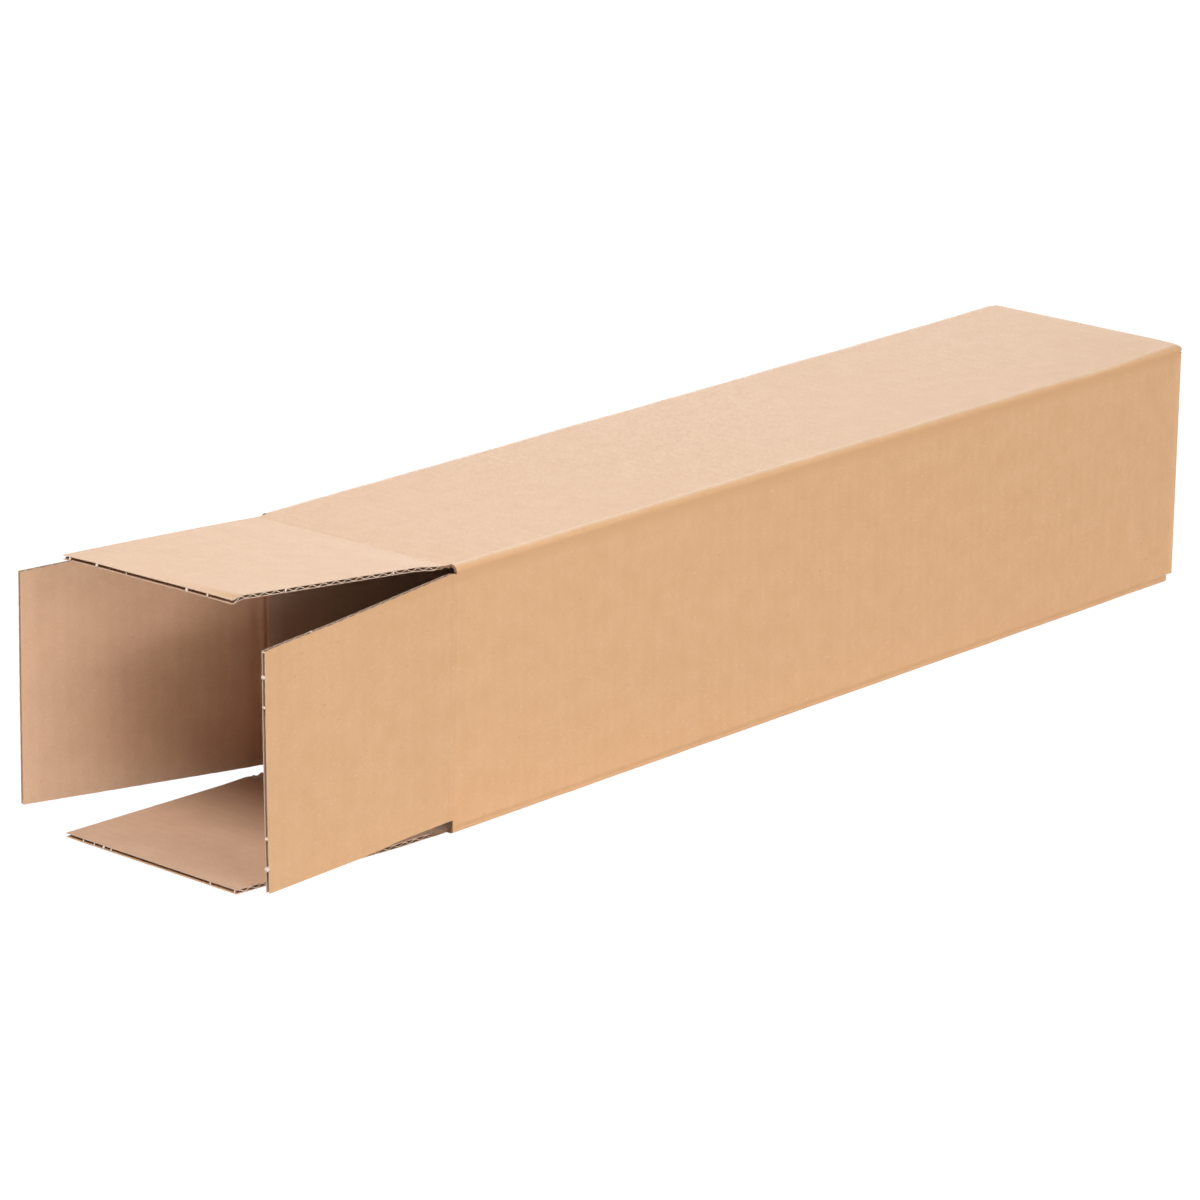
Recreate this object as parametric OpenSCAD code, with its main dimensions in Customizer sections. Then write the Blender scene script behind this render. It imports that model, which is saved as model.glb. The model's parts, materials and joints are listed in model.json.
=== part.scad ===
// A long square mailing tube, folded from one sheet of corrugated board.
// It lies on its bottom panel. Its length runs along X and its open mouth
// faces -X. The origin is the middle of the bottom panel's outer face.
// The flutes run round the girth, so they show as a wave on a flap's sides.

/* [Tube] */
// Outside width and height of the square tube
side = 116; // [90:1:140]
// Length between the innermost creases of the two ends
length = 488; // [380:1:620]
// Outside radius of the three long folds
fold_r = 3.2; // [3.2:0.1:4.5]
// Height of the glued lap that closes the sheet along its seam
lap_w = 32; // [20:1:40]

/* [Board] */
// Thickness of the corrugated board
board = 2.6; // [2.2:0.1:3]
// Thickness of each flat liner
liner = 0.35; // [0.25:0.05:0.5]
// Thickness of the fluted sheet between the liners
medium = 0.3; // [0.2:0.05:0.4]
// Distance from one flute crest to the next
flute_pitch = 6.2; // [5:0.1:8]

/* [Creases and slots] */
// Thickness of board that a crease leaves at the outside
web = 0.8; // [0.5:0.1:1.2]
// How far each half of a crease's groove reaches past the board's thickness
groove_spare = 0.2; // [0.1:0.05:0.6]
// Gap between flaps that lie shut on each other
layer_gap = 0.15; // [0.1:0.05:0.5]
// How far a slot is cut back from a tube corner on each panel
slot_inset = 3.5; // [3.3:0.1:6]
// How far a slot runs past the deeper of the two creases beside it
slot_run = 0.6; // [0.2:0.1:3]
// Radius in the closed end of a slot
slot_r = 1.2; // [0.5:0.1:1.5]
// Outside radius of the shut end's fixed folds
end_fold_r = 2; // [1:0.1:2.5]

/* [Flaps] */
// Gap between a shut flap's tip and the wall opposite
tip_gap = 0.3; // [0.2:0.1:2]
// How much a flap narrows on each side from its crease to its tip
flap_taper = 3.5; // [3.2:0.1:6]
// Degrees that the top flap stands open, outward from its panel
top_angle = 5; // [0:0.5:15]
// Degrees that the front flap stands open, outward from its panel
front_angle = 3.5; // [0:0.5:15]
// Degrees that the back flap stands open, outward from its panel
back_angle = 16.5; // [0:0.5:25]
// Degrees that the bottom flap is lifted, inward from its panel
bottom_angle = 1.8; // [0:0.1:2]

/* [Hidden] */
$fn = 48;

// Each panel is the front panel, turned this far about the tube's middle.
FRONT = 0;
BOTTOM = 90;
BACK = 180;
TOP = 270;

// The flaps shut in these orders, the first one innermost. Each crease lies
// one layer further out than the one before it, so the shut flaps nest.
MOUTH_ORDER = [BACK, FRONT, TOP, BOTTOM];
END_ORDER = [BACK, BOTTOM, TOP, FRONT];
layer = board + layer_gap;
function mouth_crease(turn) = -length / 2 - layer * search(turn, MOUTH_ORDER)[0];
function end_crease(turn) = length / 2 + layer * search(turn, END_ORDER)[0];
tube_start = mouth_crease(MOUTH_ORDER[3]);
tube_stop = end_crease(END_ORDER[3]);
end_depth = 3 * layer;

flap_w = side - 2 * slot_inset;
flap_len = side - board - tip_gap;
// The groove's halves keep clear of each other up to a right-angled fold.
groove = board + groove_spare;
groove_bed = groove - (board - web) * 2 / 3;
crushed = groove + flute_pitch / 6;
flute_steps = 8;
// Glued board sinks this far into the board that it is glued to.
glue = 0.06;
lap_start = groove + 5;
lap_slant = 8;
// The back panel's cut edge stays this far above the bottom panel's face.
seam_rise = 0.3;
over = 1;

// --- Placing and corner shapes ---

// Puts what is drawn for the front panel onto the panel at a turn. There X
// runs along the tube, Y inward from the outer face and Z across the panel.
module on_panel(turn)
    translate([0, 0, side / 2])
        rotate([turn, 0, 0])
            translate([0, -side / 2, 0])
                children();

// Extrudes a section drawn in X and Y across the middle of a panel.
module across(width)
    translate([0, 0, -width / 2])
        linear_extrude(width)
            children();

// Extrudes an outline drawn in X and Z from one depth of a panel to another.
module inward(from, to)
    translate([0, to, 0])
        rotate([90, 0, 0])
            linear_extrude(to - from)
                children();

// What a rounded corner leaves over of a square that has its corner at 0.
module corner_waste(r)
    difference() {
        translate([-over, -over])
            square(r + over);
        translate([r, r])
            circle(r);
    }

// --- Flaps of corrugated board ---

function wave(u) = let (rise = (board - medium) / 2 - liner + glue)
    board / 2 + rise * cos(360 * u / flute_pitch);
function wave_slope(u) = (wave(u + 0.01) - wave(u - 0.01)) / 0.02;

// A point on the fluted sheet's inner (1) or outer (-1) face.
function wave_face(u, face) =
    let (slope = wave_slope(u), half = face * medium / 2 / sqrt(1 + slope ^ 2))
    [-u + half * slope, wave(u) + half];

// The fluted sheet's section, from the crushed board to the flap's tip.
module flute_section() {
    first = (groove + crushed) / 2;
    step = flute_pitch / flute_steps;
    count = floor((flap_len - first) / step);
    polygon(concat(
        [for (i = [0 : count]) wave_face(first + i * step, 1)],
        [for (i = [count : -1 : 0]) wave_face(first + i * step, -1)]
    ));
}

// Half of a crease and the crushed board beside it, with the crease at 0.
module crease_section()
    polygon([
        [0, 0], [-web, web], [-groove_bed, web], [-groove, board],
        [-crushed, board], [-crushed, 0]
    ]);

// Section of a flap's board, running to -X from its crease.
module flap_section() {
    crease_section();
    flute_section();
    for (depth = [0, board - liner])
        translate([-flap_len, depth])
            square([flap_len - groove, liner]);
}

module flap_outline() {
    root = flap_w / 2;
    tip = root - flap_taper;
    polygon([[0, -root], [-flap_len, -tip], [-flap_len, tip], [0, root]]);
}

// A flap in line with the front panel, with its crease at 0.
module flap()
    intersection() {
        across(flap_w)
            flap_section();
        inward(-over, board + over)
            flap_outline();
    }

module mouth_flap(turn, open)
    color("#D5AB82")
        on_panel(turn)
            translate([mouth_crease(turn), 0, 0])
                rotate([0, 0, open])
                    flap();

module top_flap() mouth_flap(TOP, top_angle);
module bottom_flap() mouth_flap(BOTTOM, -bottom_angle);
module front_flap() mouth_flap(FRONT, front_angle);
module back_flap() mouth_flap(BACK, back_angle);

// The outermost flap of the shut end, folded in a right angle.
module end_flap()
    color("#D5AB82")
        on_panel(FRONT)
            translate([end_crease(FRONT), 0, 0])
                mirror([1, 0, 0])
                    rotate([0, 0, -90])
                        flap();

// --- Tube ---

// The hollow's section, round at the three folds.
module girth_hollow() {
    inner = side - 2 * board;
    translate([-inner / 2, board])
        difference() {
            square(inner);
            for (turn = [0, -90, 180])
                translate([inner / 2, inner / 2])
                    rotate(turn)
                        translate([-inner / 2, -inner / 2])
                            corner_waste(fold_r - board);
        }
}

// The walls' section: three round folds, and a seam where the back panel's
// cut edge covers the fold between the bottom panel and the glued lap.
module girth_section()
    difference() {
        translate([-side / 2, 0])
            square(side);
        for (turn = [0, -90, 180])
            translate([0, side / 2])
                rotate(turn)
                    translate([-side / 2, -side / 2])
                        corner_waste(fold_r);
        translate([side / 2 - board, 0])
            mirror([1, 0])
                intersection() {
                    corner_waste(fold_r);
                    translate([0, -over])
                        square(side);
                }
        translate([side / 2 - board, -over])
            square([board + over, over + seam_rise]);
        girth_hollow();
    }

module girth()
    translate([tube_start, 0, 0])
        rotate([90, 0, 90])
            linear_extrude(tube_stop - tube_start)
                girth_section();

// The lap stands up from the bottom panel, glued inside the back panel.
module glue_lap() {
    start = mouth_crease(BACK) + lap_start;
    stop = end_crease(BACK) - lap_start;
    rise = lap_w - side / 2;
    foot = board / 2 - side / 2;
    translate([0, 0, side / 2])
        inward(side / 2 - 2 * board, side / 2 - board + glue)
            polygon([
                [start, foot], [stop, foot],
                [stop - lap_slant, rise], [start + lap_slant, rise]
            ]);
}

// What a panel loses beyond its crease, and in its half of the groove.
module crease_waste()
    polygon([
        [-end_depth - over, -over], [-over, -over], [web, web],
        [groove_bed, web], [groove, board], [groove, board + over],
        [-end_depth - over, board + over]
    ]);

// What a panel loses beyond its fixed fold, which is round outside.
module fold_waste() {
    translate([-end_depth - over, -over])
        square([end_depth + over, board + 2 * over]);
    corner_waste(end_fold_r);
}

// A slot's outline, open to -X, with its closed end at 0 and its corner
// towards the panel round.
module slot_outline() {
    reach = end_depth + slot_run + over;
    translate([-reach, -over])
        square([reach - slot_r, slot_inset + over]);
    translate([-reach, -over])
        square([reach, slot_inset + over - slot_r]);
    translate([-slot_r, slot_inset - slot_r])
        circle(slot_r);
}

// Where the slot between the panel at a turn and the next panel ends.
function next_panel(turn) = (turn + BOTTOM) % 360;
function mouth_slot(turn) =
    slot_run + max(mouth_crease(turn), mouth_crease(next_panel(turn)));
function end_slot(turn) =
    -slot_run + min(end_crease(turn), end_crease(next_panel(turn)));

// A slot along the corner of a panel and the next, with its closed end at 0.
module corner_slot()
    translate([0, 0, -side / 2])
        intersection() {
            inward(-over, slot_inset)
                slot_outline();
            across(2 * slot_inset + over)
                slot_outline();
        }

// Everything that is cut from the mouth's end of the walls.
module mouth_cuts()
    for (turn = MOUTH_ORDER)
        on_panel(turn) {
            translate([mouth_crease(turn), 0, 0])
                across(flap_w)
                    crease_waste();
            translate([mouth_slot(turn), 0, 0])
                corner_slot();
        }

// Everything that is cut from the shut end of the walls.
module end_cuts()
    for (turn = END_ORDER)
        on_panel(turn) {
            translate([end_crease(turn), 0, 0])
                mirror([1, 0, 0])
                    across(flap_w)
                        if (turn == FRONT) crease_waste();
                        else fold_waste();
            translate([end_slot(turn), 0, 0])
                mirror([1, 0, 0])
                    corner_slot();
        }

// A flap of the shut end that the next ones lie on, so that it can't move.
module fixed_flap(turn)
    on_panel(turn)
        translate([end_crease(turn), 0, 0])
            mirror([1, 0, 0])
                difference() {
                    rotate([0, 0, -90])
                        inward(0, board)
                            flap_outline();
                    across(side)
                        fold_waste();
                }

module tube()
    color("#D3A77E") {
        difference() {
            union() {
                girth();
                glue_lap();
            }
            mouth_cuts();
            end_cuts();
        }
        for (turn = [BACK, BOTTOM, TOP])
            fixed_flap(turn);
    }

tube();
top_flap();
bottom_flap();
front_flap();
back_flap();
end_flap();
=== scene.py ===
import json
import math

import bmesh
import bpy
from mathutils import Matrix, Vector, noise


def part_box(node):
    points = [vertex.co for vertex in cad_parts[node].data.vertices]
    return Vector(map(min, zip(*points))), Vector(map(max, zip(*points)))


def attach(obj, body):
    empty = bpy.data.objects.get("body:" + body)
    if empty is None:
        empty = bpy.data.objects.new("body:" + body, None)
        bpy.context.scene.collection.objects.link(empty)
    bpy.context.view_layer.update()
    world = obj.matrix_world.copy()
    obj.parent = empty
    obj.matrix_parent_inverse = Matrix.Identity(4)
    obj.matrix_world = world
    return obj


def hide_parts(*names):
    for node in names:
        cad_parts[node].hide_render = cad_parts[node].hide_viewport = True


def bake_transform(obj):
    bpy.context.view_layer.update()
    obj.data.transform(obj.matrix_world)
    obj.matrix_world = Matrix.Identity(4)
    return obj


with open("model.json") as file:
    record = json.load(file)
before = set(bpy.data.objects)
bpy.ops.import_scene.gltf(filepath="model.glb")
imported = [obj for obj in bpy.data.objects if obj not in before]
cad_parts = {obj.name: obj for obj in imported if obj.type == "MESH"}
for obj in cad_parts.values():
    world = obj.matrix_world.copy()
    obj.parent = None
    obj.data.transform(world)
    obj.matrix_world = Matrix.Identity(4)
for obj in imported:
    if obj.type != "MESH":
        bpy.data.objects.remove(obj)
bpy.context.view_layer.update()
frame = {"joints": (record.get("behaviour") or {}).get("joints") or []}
mm = 0.001

joints = {joint["name"]: joint for joint in frame["joints"]}
tubeLow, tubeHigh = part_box("tube")
print("frame loaded")

# what every piece of the carton shares
carton = {
    "side": tubeHigh.z - tubeLow.z,
    "board": 2.6 * mm,
    "liner": 0.38 * mm,
    "medium": 0.5 * mm,
    "flutePitch": 6.2 * mm,
    "foldRadius": 3.2 * mm,
    "slotInset": 3.5 * mm,      # how far a slot is cut back from a corner on each panel
    "creaseHalf": 2.8 * mm,     # half of a crease's soft strip
    "creaseWeb": 0.9 * mm,      # board left at the bottom of a crease
    "crushed": 0.62,            # share of its thickness that the board keeps beside a crease
    "crushReach": 9 * mm,
    "worn": 0.86,               # the same share all over the handled flaps
    "cutThickness": 0.84,       # and once more beside a knife cut
    "cutReach": 4.5 * mm,
    "tipGap": 0.3 * mm,
    "flapTaper": 3.5 * mm,
}
half = carton["side"] / 2
board = carton["board"]
flapWidth = carton["side"] - 2 * carton["slotInset"]
flapLength = carton["side"] - board - carton["tipGap"]
panelTurn = {"front": 0, "bottom": 90, "back": 180, "top": 270}
mouthCrease = {panel: joints[panel + "_crease"]["pos_m"][0] for panel in panelTurn}
layer = (mouthCrease["back"] - mouthCrease["bottom"]) / 3
endCrease = {
    "back": tubeHigh.x - 3 * layer,
    "bottom": tubeHigh.x - 2 * layer,
    "top": tubeHigh.x - layer,
    "front": tubeHigh.x,
}


def smooth(t):
    t = max(0.0, min(1.0, t))
    return t * t * (3 - 2 * t)


def wander(x, y=0.0, seed=0.0):
    # smooth noise between -1 and 1
    return noise.noise(Vector((x, y, seed * 7.31 + 0.37)))


def panelFrame(panel, alongX=0.0):
    # X along the tube, Y inward from the outer face, Z across the panel
    turn = Matrix.Rotation(math.radians(panelTurn[panel]), 4, "X")
    return Matrix.Translation((0, 0, half)) @ turn @ Matrix.Translation((alongX, -half, 0))


def halfWidth(along):
    # half of a flap's width at a distance from its crease
    return flapWidth / 2 - carton["flapTaper"] * max(0.0, along) / flapLength


# how far the real folding has pulled the creases along the tube at the corners of each end
pulled = {
    "mouth": {"nearTop": 2.6 * mm, "nearBottom": -1.5 * mm, "backTop": 0.0, "backBottom": 0.0},
    "shut": {"nearTop": -1.2 * mm, "nearBottom": -3.6 * mm, "backTop": 0.6 * mm, "backBottom": 0.0},
}
# where along the tube each pull sets in, and the length over which it comes up in full
pullSpan = {
    "mouth": (-0.13, 0.08),
    "flapTips": (-0.262, 0.083),
    "shut": (0.1, 0.12),
    "topRun": (0.2, 0.045),
}
# the top panel runs on and stands up a little over the shut end, less so on its near fold
topRun = {
    "along": 3.2 * mm,
    "nearMore": 0.9 * mm,       # added towards the near side
    "up": 0.6 * mm,
    "foldShare": 0.6,           # what is left of the run on the near fold
    "foldReach": 3.5 * mm,
    "foldUpShare": 0.75,        # and of the rise
}


def pullAt(spot):
    back = max(0.0, min(1.0, (spot.y + half) / (2 * half)))
    high = max(0.0, min(1.0, spot.z / (2 * half)))

    def corner(pull):
        near = pull["nearBottom"] + (pull["nearTop"] - pull["nearBottom"]) * high
        far = pull["backBottom"] + (pull["backTop"] - pull["backBottom"]) * high
        return near + (far - near) * back

    def risen(key, way=1):
        start, length = pullSpan[key]
        return smooth((spot.x - start) * way / length)

    mouth = risen("mouth", -1) * (1 - risen("flapTips", -1))
    shut = risen("shut")
    top = risen("topRun") * smooth((spot.z - 2 * half + 4 * mm) / (3 * mm))
    clear = smooth((spot.y + half) / topRun["foldReach"])
    run = topRun["along"] + topRun["nearMore"] * (1 - back)
    run *= topRun["foldShare"] + (1 - topRun["foldShare"]) * clear
    shift = corner(pulled["mouth"]) * mouth + corner(pulled["shut"]) * shut + run * top
    rise = topRun["foldUpShare"] + (1 - topRun["foldUpShare"]) * smooth(back / 0.2)
    return Vector((shift, 0, topRun["up"] * top * rise))


def pullCreases(bm):
    for vert in bm.verts:
        vert.co += pullAt(vert.co)


def crush(along):
    # the flattened board beside a crease, as a share of the full thickness
    start = carton["creaseHalf"]
    share = smooth((along - start) / (carton["crushReach"] - start))
    return carton["crushed"] + (1 - carton["crushed"]) * share


def edgeCrush(along, across):
    # the knife flattens the board beside its cut
    depth = min(flapLength - along, halfWidth(along) - abs(across))
    return 1 - (1 - carton["cutThickness"]) * smooth(1 - depth / carton["cutReach"])


def sortFaces(bm, outerVerts):
    # material slots: 0 the outer liner, 1 the inner liner, 2 the cut edge between them
    for face in bm.faces:
        outer = sum(vert in outerVerts for vert in face.verts)
        face.material_index = 0 if outer == len(face.verts) else 1 if outer == 0 else 2


# a bend sharper than this is shaded as an edge
sharpAngle = math.radians(38)


def finishPiece(bm, name, materials):
    bmesh.ops.recalc_face_normals(bm, faces=bm.faces)
    for face in bm.faces:
        face.smooth = True
    for edge in bm.edges:
        if len(edge.link_faces) == 2 and edge.calc_face_angle(0) > sharpAngle:
            edge.smooth = False
    mesh = bpy.data.meshes.new(name)
    bm.to_mesh(mesh)
    bm.free()
    for material in materials:
        mesh.materials.append(material)
    piece = bpy.data.objects.new(name, mesh)
    bpy.context.scene.collection.objects.link(piece)
    return piece


kraft = {
    "face": (0.735, 0.432, 0.222),
    "dark": (0.675, 0.378, 0.184),
    "light": (0.795, 0.50, 0.28),
    "speck": (0.36, 0.205, 0.11),
    "fibre": (0.86, 0.66, 0.46),
    "roughness": 0.62,
    "sheen": 0.24,
    "ridge": 0.12,
    # painted highlight along the upper long folds
    "rubbed": (0.94, 0.70, 0.50),
    "endTone": (0.60, 0.42, 0.29),
}
kraftInner = {
    "face": (0.71, 0.445, 0.282),
    "dark": (0.60, 0.365, 0.222),
    "light": (0.785, 0.517, 0.345),
    "speck": (0.34, 0.20, 0.12),
    "fibre": (0.80, 0.62, 0.47),
    "roughness": 0.72,
    "sheen": 0.35,
    "ridge": 0.16,
}
# painted shade: a darker, duller copy of the inner liner's kraft for the walls' inner faces, deep inside
# the tube
paintedShadePalette = {
    "face": (0.55, 0.405, 0.305),
    "dark": (0.48, 0.35, 0.26),
    "light": (0.61, 0.46, 0.35),
    "speck": (0.30, 0.19, 0.12),
    "fibre": (0.66, 0.52, 0.42),
    "roughness": 0.75,
    "sheen": 0.1,
    "ridge": 0.16,
}


def nodeKit(material):
    tree = material.node_tree
    tree.nodes.clear()

    def add(kind, inputs=None, **settings):
        made = tree.nodes.new(kind)
        for key, value in settings.items():
            setattr(made, key, value)
        for key, value in (inputs or {}).items():
            if isinstance(value, bpy.types.NodeSocket):
                tree.links.new(value, made.inputs[key])
            else:
                made.inputs[key].default_value = value
        return made

    return add


def kraftMaterial(name, palette, fluteAxis="X", foldPaintedLight=False):
    material = bpy.data.materials.new(name)
    material.use_nodes = True
    add = nodeKit(material)
    place = add("ShaderNodeTexCoord").outputs["Object"]
    spin = {"X": (0, 0, 0), "Y": (0, 0, math.pi / 2), "Z": (0, math.pi / 2, 0)}[fluteAxis]
    along = add("ShaderNodeMapping", {"Vector": place, "Rotation": spin}).outputs[0]

    cloud = add("ShaderNodeTexNoise", {"Vector": along, "Scale": 85, "Detail": 5, "Roughness": 0.62})
    grain = add("ShaderNodeTexNoise", {"Vector": along, "Scale": 900, "Detail": 3, "Roughness": 0.6})
    stretched = add("ShaderNodeMapping", {"Vector": along, "Scale": (0.28, 1, 1)}).outputs[0]
    hair = add("ShaderNodeTexNoise", {"Vector": stretched, "Scale": 1500, "Detail": 2, "Roughness": 0.5})

    def mix(fac, a, b):
        made = add("ShaderNodeMix", data_type="RGBA")
        for key, value in (("Factor", fac), ("A", a), ("B", b)):
            kind = "VALUE" if key == "Factor" else "RGBA"
            socket = next(s for s in made.inputs if s.name == key and s.type == kind)
            if isinstance(value, bpy.types.NodeSocket):
                material.node_tree.links.new(value, socket)
            else:
                socket.default_value = value
        return next(s for s in made.outputs if s.type == "RGBA")

    def level(value, low, high, outLow=0.0, outHigh=1.0):
        return add(
            "ShaderNodeMapRange",
            {"Value": value, "From Min": low, "From Max": high, "To Min": outLow, "To Max": outHigh},
        ).outputs[0]

    def colour(key):
        return palette[key] + (1,)

    tone = mix(level(cloud.outputs[0], 0.32, 0.68), colour("dark"), colour("light"))
    tone = mix(0.62, tone, colour("face"))
    tone = mix(level(grain.outputs[0], 0.35, 0.7, 0.0, 0.35), tone, colour("dark"))
    tone = mix(level(hair.outputs[0], 0.62, 0.74, 0.0, 0.32), tone, colour("fibre"))

    # stray fibres, dark and pale
    short = add("ShaderNodeMapping", {"Vector": along, "Scale": (0.55, 1, 1)}).outputs[0]
    specks = add("ShaderNodeTexVoronoi", {"Vector": short, "Scale": 430, "Randomness": 1.0})
    chosen = add("ShaderNodeSeparateColor", {"Color": specks.outputs["Color"]})
    near = level(specks.outputs["Distance"], 0.10, 0.24, 1.0, 0.0)
    darkOnes = level(chosen.outputs["Red"], 0.93, 0.96)
    paleOnes = level(chosen.outputs["Green"], 0.93, 0.96)
    darkFac = add("ShaderNodeMath", {0: near, 1: darkOnes}, operation="MULTIPLY").outputs[0]
    paleFac = add("ShaderNodeMath", {0: near, 1: paleOnes}, operation="MULTIPLY").outputs[0]
    tone = mix(level(darkFac, 0, 1, 0, 0.26), tone, colour("speck"))
    tone = mix(level(paleFac, 0, 1, 0, 0.22), tone, colour("fibre"))

    # the flutes show through the liner as faint ridges, drawn in the bump and as stripes of painted shade
    axisX = add("ShaderNodeSeparateXYZ", {"Vector": along}).outputs[0]
    turnsPerMetre = 2 * math.pi / carton["flutePitch"]
    waveIn = add("ShaderNodeMath", {0: axisX, 1: turnsPerMetre}, operation="MULTIPLY")
    ridge = add("ShaderNodeMath", {0: waveIn.outputs[0]}, operation="SINE").outputs[0]
    ridgePaintedShade = level(ridge, -1, 1, 0.0, palette["ridge"])
    tone = mix(ridgePaintedShade, tone, colour("dark"))

    if foldPaintedLight:
        # painted light on the long folds: a painted highlight along the upper folds with painted shade
        # just below them, and a line of painted shade along the lower ones; the panels also darken and
        # turn greyer where they turn into the shut end
        parts = add("ShaderNodeSeparateXYZ", {"Vector": place})
        wide = add("ShaderNodeMath", {0: parts.outputs[1]}, operation="ABSOLUTE").outputs[0]
        high = parts.outputs[2]
        blotch = {"Vector": along, "Scale": 110, "Detail": 3, "Roughness": 0.6}
        uneven = add("ShaderNodeTexNoise", blotch).outputs[0]

        def band(value, low, lowFull, highFull, top):
            rise = level(value, low, lowFull)
            fall = level(value, highFull, top, 1.0, 0.0)
            return add("ShaderNodeMath", {0: rise, 1: fall}, operation="MULTIPLY").outputs[0]

        def both(*values):
            result = values[0]
            for value in values[1:]:
                result = add("ShaderNodeMath", {0: result, 1: value}, operation="MULTIPLY").outputs[0]
            return result

        corner = half - carton["foldRadius"]
        roof = 2 * half
        # painted highlight: a pale band along the upper folds
        rubbed = band(wide, corner - 0.5 * mm, corner + 0.5 * mm, corner + 1.1 * mm, corner + 2.6 * mm)
        rubbed = both(rubbed, level(high, half, half + 5 * mm), level(uneven, 0.3, 0.65, 0.7, 1.0))
        tone = mix(level(rubbed, 0, 1, 0, 0.72), tone, colour("rubbed"))
        endBand = level(parts.outputs[0], tubeHigh.x - 3.4 * mm, tubeHigh.x - 0.6 * mm)
        endBand = both(endBand, level(wide, 0, corner), level(high, roof - 5 * mm, roof - 9 * mm))
        tone = mix(level(endBand, 0, 1, 0, 0.8), tone, colour("endTone"))
        # painted shade: a darker band on the panels just below the upper folds
        pressed = band(high, roof - 9 * mm, roof - 4 * mm, roof - 2.6 * mm, roof - 1.8 * mm)
        pressed = both(pressed, level(wide, corner, corner + 3 * mm))
        tone = mix(level(pressed, 0, 1, 0, 0.9), tone, colour("dark"))
        # painted shade: a darker line on the panels along the lower folds
        lowFoldPaintedShade = band(high, 1.5 * mm, 2.2 * mm, 2.8 * mm, 4.0 * mm)
        lowFoldPaintedShade = both(lowFoldPaintedShade, level(wide, corner, corner + 2 * mm), level(uneven, 0.3, 0.6, 0.5, 1.0))
        tone = mix(level(lowFoldPaintedShade, 0, 1, 0, 0.9), tone, tuple(0.93 * c for c in palette["dark"]) + (1,))

    heightParts = (
        (level(ridge, -1, 1), 0.045),
        (grain.outputs[0], 0.035),
        (hair.outputs[0], 0.05),
        (cloud.outputs[0], 0.12),
    )
    height = None
    for value, share in heightParts:
        part = add("ShaderNodeMath", {0: value, 1: share}, operation="MULTIPLY").outputs[0]
        height = part if height is None else add("ShaderNodeMath", {0: height, 1: part}).outputs[0]
    bump = add("ShaderNodeBump", {"Strength": 0.6, "Distance": 0.4 * mm, "Height": height})

    rough = palette["roughness"]
    shader = add(
        "ShaderNodeBsdfPrincipled",
        {
            "Base Color": tone,
            "Roughness": level(grain.outputs[0], 0.3, 0.7, rough - 0.05, rough + 0.08),
            "Normal": bump.outputs[0],
            "Specular IOR Level": 0.32,
            "Sheen Weight": palette["sheen"],
            "Sheen Roughness": 0.5,
        },
    )
    add("ShaderNodeOutputMaterial", {"Surface": shader.outputs[0]})
    return material


def cutMaterial(name, pale, dark):
    # torn and cut paper: short fibres mottled between a pale and a dark colour, lighter than the liner's
    # face on cut liner and torn bridges, darker on the fluted sheet, and darker still with painted shade
    # on the board's cut edge
    material = bpy.data.materials.new(name)
    material.use_nodes = True
    add = nodeKit(material)
    place = add("ShaderNodeTexCoord").outputs["Object"]
    fuzz = add("ShaderNodeTexNoise", {"Vector": place, "Scale": 2200, "Detail": 3, "Roughness": 0.65})
    ramp = add("ShaderNodeValToRGB", {"Fac": fuzz.outputs[0]})
    ramp.color_ramp.elements[0].position = 0.36
    ramp.color_ramp.elements[0].color = dark + (1,)
    ramp.color_ramp.elements[1].position = 0.64
    ramp.color_ramp.elements[1].color = pale + (1,)
    bump = add("ShaderNodeBump", {"Strength": 0.5, "Distance": 0.2 * mm, "Height": fuzz.outputs[0]})
    shader = add(
        "ShaderNodeBsdfPrincipled",
        {
            "Base Color": ramp.outputs[0],
            "Roughness": 0.85,
            "Normal": bump.outputs[0],
            "Specular IOR Level": 0.3,
        },
    )
    add("ShaderNodeOutputMaterial", {"Surface": shader.outputs[0]})
    return material


kraftAlong = kraftMaterial("kraftAlongTube", kraft, foldPaintedLight=True)
kraftInside = kraftMaterial("kraftInside", kraftInner)
# painted shade on the walls' inner faces
paintedShadeKraft = kraftMaterial("kraftDeepInside", paintedShadePalette)
kraftShut = kraftMaterial("kraftShutEnd", kraft, "Y")
cutLiner = cutMaterial("cutLiner", (0.82, 0.62, 0.47), (0.58, 0.40, 0.29))
fluteMedium = cutMaterial("fluteMedium", (0.42, 0.26, 0.16), (0.30, 0.17, 0.10))
# the board's cut edge in its own brown, darkened with painted shade of the flute channels that the walls
# and strips do not model
cutBoard = cutMaterial("cutBoard", (0.42, 0.26, 0.16), (0.22, 0.12, 0.07))
tornFibre = cutMaterial("tornFibre", (0.86, 0.74, 0.64), (0.70, 0.54, 0.42))
print("materials made")

walls = {
    "panelSteps": 14,
    "foldSteps": 8,
    "lengthStep": 3.1 * mm,
    "endFoldRadius": 3.0 * mm,
    "slotRun": 0.6 * mm,
    "longFold": 1.8 * mm,       # how far the lower near fold runs on at the shut end
    "upperFold": 2.0 * mm,      # and the upper one, whose end is bent down
    "upperDrop": 1.7 * mm,
    "seamRise": 0.3 * mm,
    "lapHeight": 32 * mm,
    "lapStart": 7.8 * mm,
    "lapSlant": 8 * mm,
    "slotThinning": 0.5,
    "notchRise": 2.4 * mm,      # how much taller the lower near slot is on the front panel
    "notchFrom": -0.222,
    "notchLong": 14 * mm,
    "lowFoldPush": 0.9 * mm,    # how far a fold is pressed out towards a sharp corner
    "farFoldPush": 0.3 * mm,
    "foldWave": 0.22 * mm,
    "foldCrush": 0.10 * mm,
    "dent": 0.5 * mm,           # in the upper near fold
    "dentAt": 0.185,
    "dentLong": 28 * mm,
    "sag": 0.35 * mm,
    "panelBow": 0.35 * mm,
}


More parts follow.
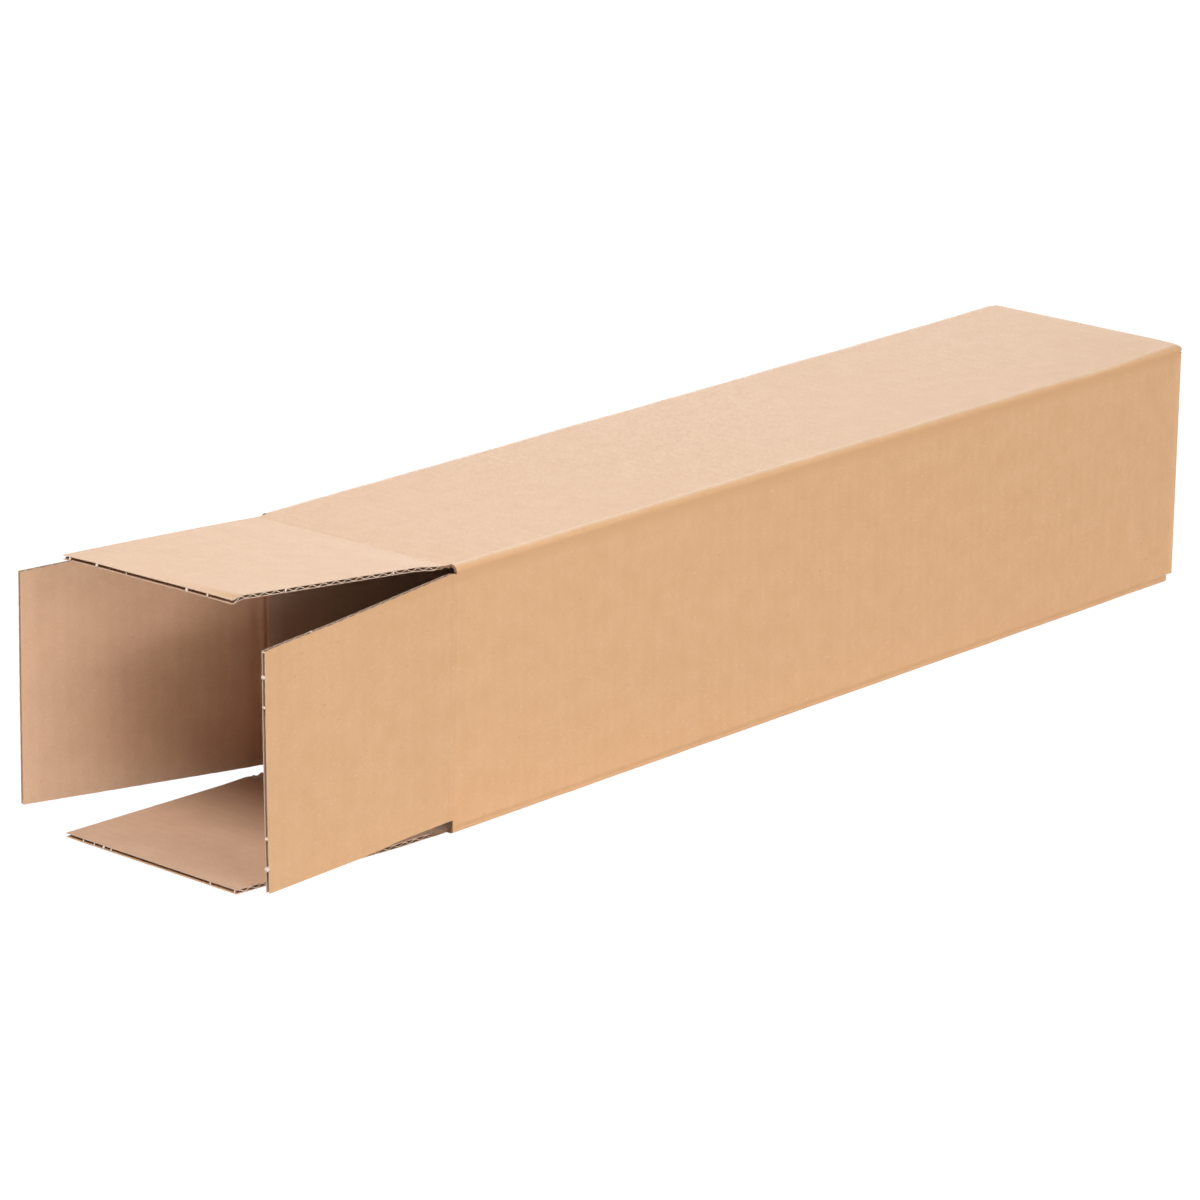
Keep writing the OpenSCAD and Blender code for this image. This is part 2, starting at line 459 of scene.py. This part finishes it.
def girthStations():
    # walks round the outside of the section, from the back panel's cut edge to the edge of the glued lap
    radius = carton["foldRadius"]
    inset = carton["slotInset"] - radius
    seam = walls["seamRise"]
    runs = [
        ("back", carton["side"] - radius - seam, carton["slotInset"] - seam, inset),
        ("top", carton["side"] - 2 * radius, inset, inset),
        ("front", carton["side"] - 2 * radius, inset, inset),
        ("bottom", carton["side"] - 2 * radius - board, inset, 0),
        ("lap", walls["lapHeight"] - radius, 0, 0),
    ]
    spot, heading = Vector((half, seam)), Vector((0, 1))
    spots, names = [spot.copy()], []
    for index, (name, length, before, after) in enumerate(runs):
        fold = "lap" if name == "lap" else name + "Fold"
        steps = 5 if name == "lap" else walls["panelSteps"]
        marks = [before] if before else []
        marks += [before + (length - before - after) * i / steps for i in range(1, steps + 1)]
        marks += [length] if after else []
        for mark in marks:
            spots.append(spot + heading * mark)
            beforePanel = before and mark == before
            afterPanel = after and mark == length
            previousFold = runs[index - 1][0] + "Fold" if index else "seam"
            names.append(previousFold if beforePanel else fold if afterPanel else name)
        spot = spot + heading * length
        if index == len(runs) - 1:
            break
        inward = Vector((-heading.y, heading.x))
        centre = spot + inward * radius
        for i in range(1, walls["foldSteps"] + 1):
            turn = Matrix.Rotation(math.pi / 2 * i / walls["foldSteps"], 2)
            spots.append(centre + turn @ (spot - centre))
            names.append(fold)
        spot, heading = spots[-1].copy(), inward
    return spots, names


def lengthStations():
    keep = {mouthCrease[p] + carton["creaseHalf"] for p in panelTurn}
    keep |= {mouthSlot[fold] for fold in mouthSlot} | {endSlot[fold] for fold in endSlot}
    keep |= {endStop[p] for p in panelTurn}
    keep |= {lapFrom, lapTo}
    keep = sorted(keep)
    first, last = max(m for m in keep if m < 0), min(m for m in keep if m > 0)
    count = round((last - first) / walls["lengthStep"])
    return sorted(set(keep + [first + (last - first) * i / count for i in range(1, count)]))


foldPairs = {
    "backFold": ("back", "top"),
    "topFold": ("top", "front"),
    "frontFold": ("front", "bottom"),
    "bottomFold": ("bottom", "back"),
}
mouthSlot = {f: max(mouthCrease[a], mouthCrease[b]) + walls["slotRun"] for f, (a, b) in foldPairs.items()}
endSlot = {f: min(endCrease[a], endCrease[b]) - walls["slotRun"] for f, (a, b) in foldPairs.items()}
endSlot["frontFold"] += walls["longFold"]
endSlot["topFold"] += walls["upperFold"]
mouthSlot["seam"], endSlot["seam"] = mouthSlot["bottomFold"], endSlot["bottomFold"]
endStop = {p: endCrease[p] - walls["endFoldRadius"] for p in panelTurn}
endStop["front"] = endCrease["front"] - carton["creaseHalf"]
lapFrom = mouthCrease["back"] + walls["lapStart"]
lapTo = endCrease["back"] - walls["lapStart"]


def regionLimits(name):
    if name in panelTurn:
        return mouthCrease[name] + carton["creaseHalf"], endStop[name]
    if name == "lap":
        return lapFrom, lapTo
    return mouthSlot[name], endSlot[name]


def foldEndFlap(bm, panel):
    # a fixed flap of the shut end: its edge turns a right angle, then runs across the tube
    limit = endStop[panel]
    toPanel = panelFrame(panel)
    fromPanel = toPanel.inverted()

    def onEdge(vert):
        local = fromPanel @ vert.co
        inPanel = abs(local.y) < 1e-6 and abs(local.z) < flapWidth / 2 + 1e-6
        return inPanel and abs(vert.co.x - limit) < 1e-6

    edges = [e for e in bm.edges if e.is_boundary and all(onEdge(v) for v in e.verts)]
    radius = walls["endFoldRadius"]
    centre = toPanel @ Vector((limit, radius, 0))
    axis = toPanel.to_3x3() @ Vector((0, 0, 1))
    verts = {v for e in edges for v in e.verts}
    spun = bmesh.ops.spin(
        bm, geom=list(verts) + edges, cent=centre, axis=axis, angle=math.pi / 2, steps=6, use_merge=False
    )["geom_last"]
    edges = [g for g in spun if isinstance(g, bmesh.types.BMEdge)]
    steps = 8
    inward = toPanel.to_3x3() @ Vector((0, 1, 0))
    depth = radius
    for i in range(steps):
        made = bmesh.ops.extrude_edge_only(bm, edges=edges)["geom"]
        edges = [g for g in made if isinstance(g, bmesh.types.BMEdge)]
        verts = [g for g in made if isinstance(g, bmesh.types.BMVert)]
        edges = [e for e in edges if all(v in set(verts) for v in e.verts)]
        step = (flapLength - radius) / steps
        share = halfWidth(depth + step) / halfWidth(depth)
        depth += step
        bmesh.ops.translate(bm, verts=verts, vec=inward * step)
        for vert in verts:
            local = fromPanel @ vert.co
            local.z *= share
            vert.co = toPanel @ local


def raiseNotch(bm):
    # the front panel's slot at the lower near fold is cut taller towards the mouth
    for vert in bm.verts:
        onFront = vert.co.y < board - half + 0.01 * mm
        if onFront and abs(vert.co.z - carton["slotInset"]) < 0.05 * mm:
            share = smooth((walls["notchFrom"] - vert.co.x) / walls["notchLong"])
            vert.co.z += walls["notchRise"] * share


def sharpenFolds(bm):
    # the lower near fold is pressed nearly to a corner, the upper far one a little
    pressed = (
        (Vector((-half, 0)), walls["lowFoldPush"]),
        (Vector((half, 2 * half)), walls["farFoldPush"]),
    )
    for corner, push in pressed:
        outward = (corner - Vector((0, half))).normalized()
        for vert in bm.verts:
            away = (Vector((vert.co.y, vert.co.z)) - corner).length
            if away < carton["foldRadius"]:
                share = smooth((carton["foldRadius"] - away) / (0.58 * carton["foldRadius"]))
                vert.co.y += outward.x * push * share
                vert.co.z = max(0.0, vert.co.z + outward.y * push * share)


def bendFoldEnd(bm):
    # the upper near fold's free end follows the top panel down
    for vert in bm.verts:
        x, y, z = vert.co
        if x > 0.2 and y < 4 * mm - half:
            share = smooth((x - endStop["top"] - 3 * mm) / (3 * mm))
            vert.co.z -= walls["upperDrop"] * share * smooth((z - 2 * half + 3.3 * mm) / (2 * mm))


def settleWalls(bm):
    # the long folds are crushed a little unevenly, and the panels are bowed
    dented = 1
    corners = (
        (Vector((-half, 2 * half)), dented),
        (Vector((-half, 0)), 2),
        (Vector((half, 2 * half)), 3),
    )
    middle = Vector((0, half))
    for vert in bm.verts:
        x, y, z = vert.co
        fade = smooth((0.238 - abs(x)) / 0.02)
        if fade == 0:
            continue
        shift = Vector((0, 0))
        for corner, seed in corners:
            away = (Vector((y, z)) - corner).length
            if away > 0.03:
                continue
            inward = (middle - corner).normalized()
            wave = walls["foldWave"] * (wander(x * 26, 0, seed) + 0.6 * wander(x * 70, 0, seed + 9))
            crumple = walls["foldCrush"] * wander(x * 330, 0, seed + 4)
            if seed == dented:
                wave += walls["dent"] * math.exp(-(((x - walls["dentAt"]) / walls["dentLong"]) ** 2))
            shift += inward * wave * math.exp(-((away / (11 * mm)) ** 2))
            shift += inward * crumple * math.exp(-((away / (3.2 * mm)) ** 2))
        bulge = math.sin(math.pi * max(0, min(1, z / (2 * half))))
        bowY = walls["panelBow"] * wander(x * 9, z * 9, 20) * bulge
        bowZ = walls["panelBow"] * wander(x * 9, y * 9, 30) * math.cos(math.pi * y / (2 * half))
        flatZ = smooth((z - 0.02) / 0.03)  # the bottom panel stays flat on the floor
        if abs(y) > half - 5 * mm:
            shift.x += bowY
        if z > 2 * half - 5 * mm:
            shift.y += bowZ * flatZ
        # the upper near fold sags towards the shut end
        sag = walls["sag"] * smooth((x + 0.08) / 0.14)
        shift.y -= sag * max(0.0, (half - y) / (2 * half)) * smooth((z - half) / half)
        vert.co.y += shift.x * fade
        vert.co.z = max(0.0, z + shift.y * fade)


def buildWalls():
    spots, names = girthStations()
    stops = lengthStations()
    bm = bmesh.new()
    chain = [bm.verts.new((stops[0], spot.x, spot.y)) for spot in spots]
    edges = [bm.edges.new(pair) for pair in zip(chain, chain[1:])]
    nameAt = {}
    for a, b, name in zip(spots, spots[1:], names):
        mid = (a + b) / 2
        nameAt[(round(mid.x * 1e6), round(mid.y * 1e6))] = name
    for before, after in zip(stops, stops[1:]):
        made = bmesh.ops.extrude_edge_only(bm, edges=edges)["geom"]
        verts = {g for g in made if isinstance(g, bmesh.types.BMVert)}
        edges = [g for g in made if isinstance(g, bmesh.types.BMEdge) and all(v in verts for v in g.verts)]
        bmesh.ops.translate(bm, verts=list(verts), vec=(after - before, 0, 0))
    doomed = []
    for face in bm.faces:
        centre = face.calc_center_median()
        name = None
        for dy in (0, 1, -1):
            for dz in (0, 1, -1):
                key = (round(centre.y * 1e6) + dy, round(centre.z * 1e6) + dz)
                name = name or nameAt.get(key)
        low, high = regionLimits(name)
        if not low < centre.x < high:
            doomed.append(face)
    bmesh.ops.delete(bm, geom=doomed, context="FACES")
    # the lap's two ends slant
    for vert in bm.verts:
        if abs(vert.co.y - (half - board)) < 1e-6 and vert.co.z > carton["foldRadius"] + 1e-6:
            rise = (vert.co.z - carton["foldRadius"]) / (walls["lapHeight"] - carton["foldRadius"])
            middle = (lapFrom + lapTo) / 2
            narrowing = rise * walls["lapSlant"] * 2 / (lapTo - lapFrom)
            vert.co.x = middle + (vert.co.x - middle) * (1 - narrowing)
    for panel in ("back", "bottom", "top"):
        foldEndFlap(bm, panel)
    bmesh.ops.remove_doubles(bm, verts=bm.verts, dist=1e-6)
    bmesh.ops.recalc_face_normals(bm, faces=bm.faces)
    outward = sum(f.normal.z for f in bm.faces if f.calc_center_median().z > 2 * half - 1e-5)
    if outward < 0:
        bmesh.ops.reverse_faces(bm, faces=bm.faces)
    outerVerts = set(bm.verts)
    bmesh.ops.solidify(bm, geom=bm.faces[:], thickness=board)
    sortFaces(bm, outerVerts)
    raiseNotch(bm)
    crushMouth(bm)
    thinSlotEnds(bm, outerVerts)
    sharpenFolds(bm)
    settleWalls(bm)
    pullCreases(bm)
    bendFoldEnd(bm)
    return finishPiece(bm, "tubeWalls", [kraftAlong, paintedShadeKraft, cutBoard])


def thinSlotEnds(bm, outerVerts):
    # a fold is pressed thin where its slot begins
    bm.normal_update()
    reach = 9 * mm
    for vert in bm.verts:
        height = min(vert.co.z, 2 * half - vert.co.z)
        if vert in outerVerts or abs(vert.co.y) < half - reach or height > reach:
            continue
        away = Vector((0, -vert.normal.y, -vert.normal.z))
        if away.length < 0.1 or vert.co.x > mouthSlot["topFold"] + reach:
            continue
        share = smooth((mouthSlot["topFold"] + reach - vert.co.x) / reach)
        vert.co += away.normalized() * board * walls["slotThinning"] * share


def crushMouth(bm):
    # the inner face sinks towards each crease
    for panel in panelTurn:
        fromPanel = panelFrame(panel).inverted()
        toPanel = panelFrame(panel)
        ends = [(mouthCrease[panel], 1)]
        if panel == "front":
            ends.append((endCrease[panel], -1))
        for vert in bm.verts:
            local = fromPanel @ vert.co
            if abs(local.z) > flapWidth / 2 - 1e-6 or not board * 0.9 < local.y < board * 1.1:
                continue
            for crease, way in ends:
                along = (local.x - crease) * way
                if carton["creaseHalf"] - 1e-6 <= along < carton["crushReach"]:
                    local.y = board * crush(along)
                    vert.co = toPanel @ local


tubeWalls = buildWalls()
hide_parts("tube")
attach(tubeWalls, "walls")
print("walls built")

# tipTags sit on the flap's tip as shares of its width from local +Z, lowTags and highTags on its two
# side edges as shares of its length from the tip; the second number is a tag's size
flaps = {
    "top": {
        "body": "top",
        "node": "top_flap",
        "openDeg": 5.0,
        "seed": 3,
        "tipTags": [(0.043, 0.8), (0.205, 1.0), (0.382, 0.35), (0.738, 1.1), (0.859, 0.8)],
        "lowTags": [(0.249, 0.7), (0.747, 0.8)],
    },
    "bottom": {
        "body": "bottom",
        "node": "bottom_flap",
        "openDeg": -1.8,
        "seed": 5,
        "tipTags": [(0.775, 1.0), (0.895, 0.5), (0.83, 0.4), (0.73, 0.5), (0.15, 0.5), (0.01, 0.5)],
    },
    "front": {
        "body": "front",
        "node": "front_flap",
        "openDeg": 3.5,
        "score": 0.06 * mm,
        "seed": 8,
        "tipTags": [(0.004, 0.7), (0.107, 1.5), (0.231, 0.9), (0.773, 1.3), (0.900, 2.0)],
        "lowTags": [(0.40, 0.7), (0.804, 0.9)],
        "highTags": [(0.247, 0.7)],
    },
    "back": {
        "body": "back",
        "node": "back_flap",
        "openDeg": 16.5,
        "score": 0.1 * mm,
        "groove": (1.2 * mm, 1.1 * mm, 1.6 * mm),
        "seed": 11,
    },
    "end": {"body": "end", "node": "end_flap", "openDeg": -90.0, "score": 0.04 * mm, "seed": 14},
}
tag = {"wide": 0.55 * mm, "out": 0.5 * mm, "tall": 1.2 * mm, "fibre": 0.045 * mm, "fibreLong": 1.1 * mm}
sheetDetail = {
    "linerAlong": 74,
    "linerAcross": 72,
    "fluteSteps": 10,
    "mediumAcross": 26,
    "fluteInset": 1.3 * mm,
}
# how far the flaps bend out of their planes
bend = {
    "creaseLift": 1.4 * mm,     # the top flap's near edge beside its crease
    "tipLift": 1.3 * mm,        # and more of it towards the tip
    "tipDroop": 1.6 * mm,
    "bottomDrop": 0.5 * mm,
    "bottomRise": 0.2 * mm,
    "frontBow": 0.25 * mm,
    "backBow": 0.2 * mm,
}


def warpTop(along, across):
    # the near edge stands higher than the far one, most of all by the crease, and its tip is bent down
    near = (0.5 - across / flapWidth) ** 2
    share = along / flapLength
    lift = bend["creaseLift"] * smooth((along + carton["creaseHalf"]) / (22 * mm))
    lift += bend["tipLift"] * max(0.0, share) ** 1.2
    droop = bend["tipDroop"] * smooth((along - flapLength + 6 * mm) / (6 * mm))
    sag = 0.5 * mm * (1 - near) + 0.6 * mm * smooth((across - 28 * mm) / (26 * mm))
    return droop * near**2 - lift * near + sag * max(0.0, share) ** 2


def warpBottom(along, across):
    # it lies a little lower than its crease's turn would put it
    return bend["bottomRise"] * along / flapLength - bend["bottomDrop"] * smooth(along / (24 * mm))


def warpFront(along, across):
    return bend["frontBow"] * math.cos(math.pi * across / flapWidth) * (along / flapLength) ** 2


def warpBack(along, across):
    return -bend["backBow"] * math.cos(math.pi * across / flapWidth) * (along / flapLength) ** 2


warps = {"top": warpTop, "bottom": warpBottom, "front": warpFront, "back": warpBack}


# each slide says how far a flap is drawn out along its own plane, and how far across it
def slideTop(along, across):
    near = 0.5 - across / flapWidth
    return 2.4 * mm * near * max(0.0, along) / flapLength, 0.0


def slideFront(along, across):
    low = 0.5 - across / flapWidth
    share = max(0.0, along) / flapLength
    ramp = smooth((along + walls["slotRun"]) / (carton["creaseHalf"] + walls["slotRun"]))
    upper = ramp * (1.4 - 0.65 * (1 - smooth((share - 0.6) / 0.35))) * mm
    lower = ramp * (1.4 + 1.1 * (1 - smooth((share - 0.25) / 0.25))) * mm + walls["notchRise"] * (1 - ramp)
    return 0.5 * mm * share, upper * (1 - low) + lower * low - 2.8 * mm * share


def slideBack(along, across):
    low = 0.5 + across / flapWidth
    share = max(0.0, along) / flapLength
    return (0.2 + 2.2 * low) * mm * share, 1.3 * mm * share


slides = {"top": slideTop, "front": slideFront, "back": slideBack}


def flapFrame(name):
    spec = flaps[name]
    turn = Matrix.Rotation(math.radians(spec["openDeg"]), 4, "Z")
    if name == "end":
        return panelFrame("front", endCrease["front"]) @ Matrix.Scale(-1, 4, (1, 0, 0)) @ turn
    return panelFrame(name, mouthCrease[name]) @ turn


def thicken(bm, faces, thickness):
    # gives a flat sheet its thickness, inward from the face that looks out of the tube
    bm.normal_update()
    if faces[0].normal.y > 0:
        bmesh.ops.reverse_faces(bm, faces=faces)
    bmesh.ops.solidify(bm, geom=faces, thickness=thickness)


def sheetGrid(bm, alongSteps, acrossSteps, end):
    # a flat sheet that runs from beside the crease to the flap's tip
    made = bmesh.ops.create_grid(bm, x_segments=alongSteps, y_segments=acrossSteps, size=0.5)
    verts = made["verts"]
    start = carton["creaseHalf"]
    for vert in verts:
        along = start + (vert.co.x + 0.5) * (end - start)
        vert.co = Vector((-along, 0, vert.co.y * 2 * halfWidth(along)))
    return verts


def addTag(bm, spot, out, size, seed):
    # a torn bridge of paper that held the blank to its sheet, with a few loose fibres
    across = Vector((0, 1, 0)).cross(out)
    turn = Matrix((across, Vector((0, 1, 0)), out)).transposed()
    scale = Vector((tag["wide"] * size, tag["tall"] * (0.75 + 0.25 * size), tag["out"] * size))
    for vert in bmesh.ops.create_uvsphere(bm, u_segments=14, v_segments=10, radius=1)["verts"]:
        rough = 1 + 0.45 * wander(vert.co.x * 2.2 + vert.co.z * 1.7, vert.co.y * 2.6, seed)
        vert.co = spot + turn @ (vert.co * rough * scale)
    for i in range(4):
        lean = Matrix.Rotation(1.1 * wander(i * 3.7, 1, seed), 3, "X")
        lean = lean @ Matrix.Rotation(1.3 * wander(i * 5.3, 2, seed), 3, "Y")
        high = scale.y * 0.9 * wander(i * 2.9, 3, seed)
        long = tag["fibreLong"] * size * (0.7 + 0.5 * wander(i * 4.1, 4, seed))
        made = bmesh.ops.create_cone(
            bm, cap_ends=True, segments=5, radius1=tag["fibre"], radius2=tag["fibre"] * 0.3, depth=long
        )
        for vert in made["verts"]:
            vert.co = spot + turn @ (lean @ (vert.co + Vector((0, 0, long / 2))) + Vector((0, high, 0)))


def addTags(bm, name):
    spec = flaps[name]
    middle = board / 2
    for share, size in spec.get("tipTags", []):
        across = halfWidth(flapLength) * (1 - 2 * share)
        addTag(bm, Vector((-flapLength, middle, across)), Vector((-1, 0, 0)), size, share * 90)
    for key, side in (("lowTags", -1), ("highTags", 1)):
        for share, size in spec.get(key, []):
            along = flapLength * (1 - share)
            spot = Vector((-along, middle, side * halfWidth(along)))
            addTag(bm, spot, Vector((0, 0, side)), size, share * 70)


def buildFlap(name):
    spec = flaps[name]
    seed = spec["seed"]
    bm = bmesh.new()
    liner, medium, pitch = carton["liner"], carton["medium"], carton["flutePitch"]

    def roughEdges(verts, reach, inset, end):
        # knife cuts are never quite straight
        for vert in verts:
            along, across = -vert.co.x, vert.co.z
            edge = halfWidth(along)
            if abs(abs(across) - edge) < 1e-7:
                side = 1 if across > 0 else -1
                wobble = reach * wander(along * 700, side * 5, seed + inset * 1e4)
                vert.co.z = side * (edge - inset + wobble)
            if abs(along - end) < 1e-7:
                vert.co.x = -end + reach * wander(across * 500, 3, seed + 2 + inset * 1e4)

    for depth in (0.0, board - liner):
        inset = 0.05 * mm if depth else 0.0
        verts = sheetGrid(bm, sheetDetail["linerAlong"], sheetDetail["linerAcross"], flapLength - inset)
        roughEdges(verts, 0.09 * mm, inset, flapLength - inset)
        for vert in verts:
            vert.co.y = depth
        thicken(bm, list({f for v in verts for f in v.link_faces}), liner)
    shells = set(bm.verts)
    innerPlate = {vert for vert in shells if vert.co.y > board / 2}
    flutes = (flapLength - carton["creaseHalf"]) / pitch
    fluteEnd = flapLength - sheetDetail["fluteInset"]
    verts = sheetGrid(bm, round(flutes * sheetDetail["fluteSteps"]), sheetDetail["mediumAcross"], fluteEnd)
    roughEdges(verts, 0.12 * mm, 0.06 * mm, fluteEnd)
    glue = 0.04 * mm
    rise = (board - medium) / 2 - liner + glue
    for vert in verts:
        along = -vert.co.x
        phase = 2 * math.pi * along / pitch + 0.25 * wander(along * 60, 0, seed + 1)
        vert.co.y = (board - medium) / 2 + rise * math.cos(phase)
    thicken(bm, list({f for v in verts for f in v.link_faces}), medium)
    sheets = set(bm.verts)
    addTags(bm, name)
    bm.normal_update()
    # material slots: 0 outer liner, 1 inner liner, 2 cut rims, 3 fluted sheet, 4 torn bridges
    for face in bm.faces:
        if face.verts[0] not in sheets:
            face.material_index = 4
            continue
        isMedium = face.verts[0] not in shells
        onRim = abs(face.normal.z) > 0.8 if isMedium else abs(face.normal.y) < 0.5
        isInner = face.verts[0] in innerPlate
        face.material_index = 2 if onRim else 3 if isMedium else 1 if isInner else 0
    for vert in bm.verts:
        along, across = -vert.co.x, vert.co.z
        pressed = min(carton["worn"], crush(along)) * edgeCrush(along, across)
        longer, wider = slides[name](along, across) if name in slides else (0.0, 0.0)
        lifted = warps[name](along, across) if name in warps else 0.0
        vert.co = Vector((-along - longer, vert.co.y * pressed + lifted, across + wider))
    bmesh.ops.transform(bm, matrix=flapFrame(name), verts=bm.verts)
    pullCreases(bm)
    face = kraftShut if name == "end" else kraftAlong
    piece = finishPiece(bm, name + "FlapBoard", [face, kraftInside, cutLiner, fluteMedium, tornFibre])
    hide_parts(spec["node"])
    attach(piece, spec["body"])


def buildCrease(name):
    # the soft strip between a panel and its flap, scored from both sides
    spec = flaps[name]
    reach = carton["creaseHalf"]
    bm = bmesh.new()
    verts = bmesh.ops.create_grid(bm, x_segments=16, y_segments=36, size=0.5)["verts"]
    for vert in verts:
        x = vert.co.x * 2 * reach
        vert.co = Vector((x, 0, vert.co.y * 2 * halfWidth(-x)))
    outerVerts = set(bm.verts)
    thicken(bm, bm.faces[:], 1 * mm)
    sortFaces(bm, outerVerts)
    angle = math.radians(spec["openDeg"])
    for vert in bm.verts:
        x, y, z = vert.co
        score = spec.get("score", 0.0) * math.exp(-(((abs(x) - 1.5 * mm) / (0.55 * mm)) ** 2))
        if y > 0.5 * mm:
            web, groove, width = spec.get("groove", (carton["creaseWeb"], 0.0, reach))
            y = web + (board * carton["crushed"] - web) * smooth(abs(x - groove) / width)
        else:
            y = score
        y += warpTop(-x, z) if name == "top" else 0.0
        turn = Matrix.Rotation(angle * smooth((reach - x) / (2 * reach)), 2)
        spot = turn @ Vector((x, y))
        wider = slideFront(-x, z)[1] if name == "front" else 0.0
        vert.co = Vector((spot.x, spot.y, z + wider))
    if name == "end":
        place = panelFrame("front", endCrease["front"]) @ Matrix.Scale(-1, 4, (1, 0, 0))
    else:
        place = panelFrame(name, mouthCrease[name])
    bmesh.ops.transform(bm, matrix=place, verts=bm.verts)
    pullCreases(bm)
    piece = finishPiece(bm, name + "CreaseStrip", [kraftAlong, kraftInside, cutBoard])

    # points on both sides of the pulled crease and the direction along it, which nothing goes on to use
    def pulledSpot(local):
        spot = place @ local
        return spot + pullAt(spot)

    start = pulledSpot(Vector((reach, 0, 0)))
    flapSide = pulledSpot(Matrix.Rotation(angle, 4, "Z") @ Vector((-reach, 0, 0)))
    lineWay = pulledSpot(Vector((reach, 0, half / 2))) - pulledSpot(Vector((reach, 0, -half / 2)))
    lineWay.normalize()
    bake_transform(piece)


for name in flaps:
    buildFlap(name)
    buildCrease(name)
print("flaps built")

studio = {
    "worldFill": 0.035,
    "floorShade": 0.12,
    "lamps": {
        "keySoftbox": {"azimuth": -14, "elevation": 8, "rise": 0.05, "power": 70, "size": 1.55},
        "sideSoftbox": {"azimuth": -75, "elevation": 55, "rise": 0.05, "power": 80, "size": 1.1},
        "backSoftbox": {"azimuth": 133, "elevation": 20, "rise": 0.0, "power": 53, "size": 1.55},
    },
    "lampDistance": 3.4,
    "azimuth": -47.34,
    "elevation": 17.12,
    "camera": (-1.7827, -1.5562, 0.7626),
    "lens": 163.5,
}


def seenDirectly(add):
    # true for the camera's own rays and for reflections, so the white surroundings light nothing
    path = add("ShaderNodeLightPath")
    rays = {0: path.outputs["Is Camera Ray"], 1: path.outputs["Is Glossy Ray"]}
    return add("ShaderNodeMath", rays, operation="MAXIMUM").outputs[0]


def buildFloor():
    bm = bmesh.new()
    bmesh.ops.create_grid(bm, x_segments=1, y_segments=1, size=6)
    bmesh.ops.translate(bm, verts=bm.verts, vec=(0, 0, -0.2 * mm))
    material = bpy.data.materials.new("paleFloor")
    material.use_nodes = True
    add = nodeKit(material)
    seen = seenDirectly(add)
    soft = add("ShaderNodeBsdfDiffuse", {"Color": (0.85, 0.85, 0.85, 1)})
    shade = studio["floorShade"]
    shadow = add("ShaderNodeBsdfDiffuse", {"Color": (shade, shade, shade, 1)})
    glow = add("ShaderNodeEmission", {"Color": (1, 1, 1, 1), "Strength": 1.0 - shade * 0.15})
    both = add("ShaderNodeAddShader", {0: shadow.outputs[0], 1: glow.outputs[0]})
    mixed = add("ShaderNodeMixShader", {0: seen, 1: soft.outputs[0], 2: both.outputs[0]})
    add("ShaderNodeOutputMaterial", {"Surface": mixed.outputs[0]})
    return finishPiece(bm, "paleFloor", [material])


buildFloor()

world = bpy.data.worlds.new("studioWorld")
bpy.context.scene.world = world
world.use_nodes = True
world.node_tree.nodes.clear()
add = nodeKit(world)
seen = seenDirectly(add)
fill = add("ShaderNodeBackground", {"Color": (1, 1, 1, 1), "Strength": studio["worldFill"]})
white = add("ShaderNodeBackground", {"Color": (1, 1, 1, 1), "Strength": 1.0})
mixed = add("ShaderNodeMixShader", {0: seen, 1: fill.outputs[0], 2: white.outputs[0]})
add("ShaderNodeOutputWorld", {"Surface": mixed.outputs[0]})


def towards(azimuth, elevation):
    # points from the carton to where a lamp or the camera stands
    a, e = math.radians(azimuth), math.radians(elevation)
    return Vector((math.sin(a) * math.cos(e), -math.cos(a) * math.cos(e), math.sin(e)))


for name, lamp in studio["lamps"].items():
    data = bpy.data.lights.new(name, "AREA")
    data.shape = "SQUARE"
    data.size, data.energy = lamp["size"], lamp["power"]
    light = bpy.data.objects.new(name, data)
    light.visible_camera = False
    bpy.context.scene.collection.objects.link(light)
    away = towards(lamp["azimuth"], lamp["elevation"])
    light.location = away * studio["lampDistance"] + Vector((0, 0, lamp["rise"]))
    light.rotation_mode = "QUATERNION"
    light.rotation_quaternion = away.to_track_quat("Z", "Y")

cameraData = bpy.data.cameras.new("camera")
cameraData.lens = studio["lens"]
cameraData.sensor_width = 36
camera = bpy.data.objects.new("camera", cameraData)
bpy.context.scene.collection.objects.link(camera)
view = -towards(studio["azimuth"], studio["elevation"])
camera.location = studio["camera"]
camera.rotation_mode = "QUATERNION"
camera.rotation_quaternion = view.to_track_quat("-Z", "Y")
bpy.context.scene.camera = camera
bpy.context.scene.view_settings.view_transform = "Standard"
print("studio set")
